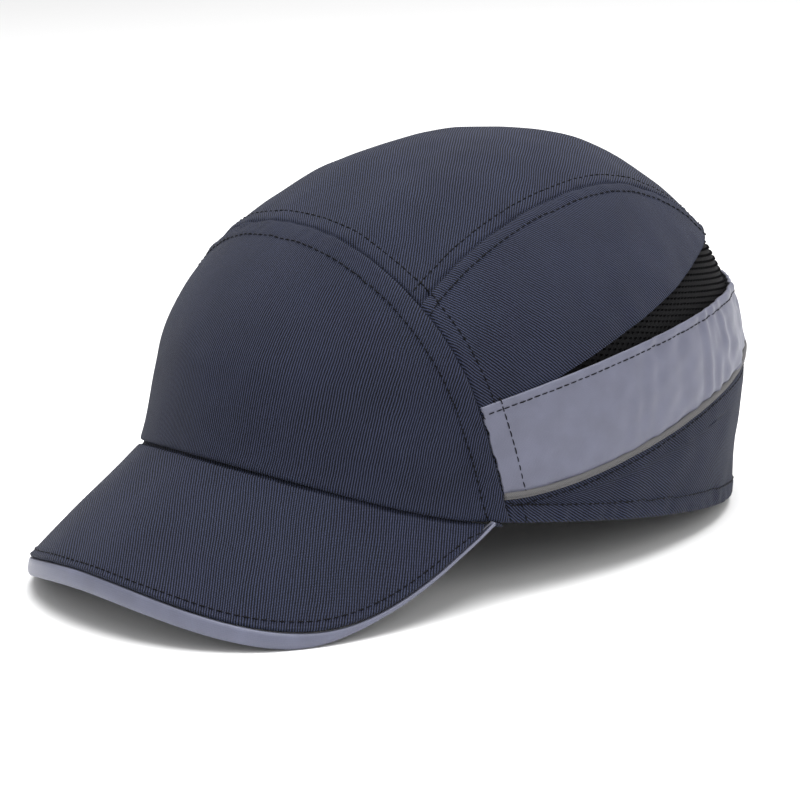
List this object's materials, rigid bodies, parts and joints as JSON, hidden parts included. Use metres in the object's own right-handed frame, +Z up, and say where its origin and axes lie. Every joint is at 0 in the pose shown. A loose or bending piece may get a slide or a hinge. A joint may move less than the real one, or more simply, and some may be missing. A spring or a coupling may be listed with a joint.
{
  "type": "bump cap",
  "caption": "Baseball-style bump cap with a removable protective shell and foam pads, reflective band and brim trim, perforated mesh sides, and an adjustable rear strap",
  "frame": {"origin": "centre of the overall length and width, on the ground that the cap stands on", "axes": "+Z up, -Y the way the wearer faces (brim), +Y the back of the head, +X the wearer's left"},
  "size_m": [0.1888, 0.3008, 0.1503],
  "materials": {
    "cap_cloth": "dark navy cotton twill with topstitched seams",
    "binding_tape": "folded twill binding",
    "mesh": "black perforated knit mesh",
    "reflective_tape": "silver-grey retroreflective tape, satin",
    "reflective_trim": "silver-grey reflective edge binding, satin",
    "piping": "grey corded piping",
    "sweatband_cloth": "black brushed sweatband cloth",
    "lining_tape": "black woven seam tape",
    "brim_board": "moulded polyethylene brim board",
    "webbing": "ribbed woven strap",
    "buckle_plastic": "black moulded ladder buckle",
    "hook_tape": "black hook fastener tape",
    "shell_plastic": "black injection-moulded ABS, fine grain",
    "foam": "closed-cell dark grey foam"
  },
  "bodies": {
    "cap": {"front_panel": "cap_cloth", "crown_panel": "cap_cloth", "side_panel_left": "cap_cloth", "side_panel_right": "cap_cloth", "lower_panel_left": "cap_cloth", "lower_panel_right": "cap_cloth", "brim_top_cover": "cap_cloth", "brim_under_cover": "cap_cloth", "opening_binding": "binding_tape", "rear_mesh": "mesh", "reflective_band_left": "reflective_tape", "reflective_band_right": "reflective_tape", "brim_edge_trim": "reflective_trim", "piping_left": "piping", "piping_right": "piping", "sweatband": "sweatband_cloth", "arch_tape": "lining_tape", "crown_tape_left": "lining_tape", "crown_tape_right": "lining_tape", "brim_board": "brim_board", "adjuster_strap": "webbing", "buckle_tab": "webbing", "buckle": "buckle_plastic"},
    "insert": {"protective_shell": "shell_plastic", "front_pad": "foam", "top_pad": "foam", "side_pad_left": "foam", "side_pad_right": "foam", "rear_pad": "foam"},
    "tail": {"strap_tail": "webbing", "hook_patch": "hook_tape"}
  },
  "joints": [
    {"name": "insert_slide", "type": "slide", "parent": "cap", "child": "insert", "axis": [0, -0.2853, -0.9584], "range_m": [0, 0.08]},
    {"name": "tail_peel", "type": "hinge", "parent": "cap", "child": "tail", "pos_m": [-0.01282, 0.14221, 0.01284], "axis": [0, 0.1788, 0.9839], "range_deg": [0, 120]}
  ]
}
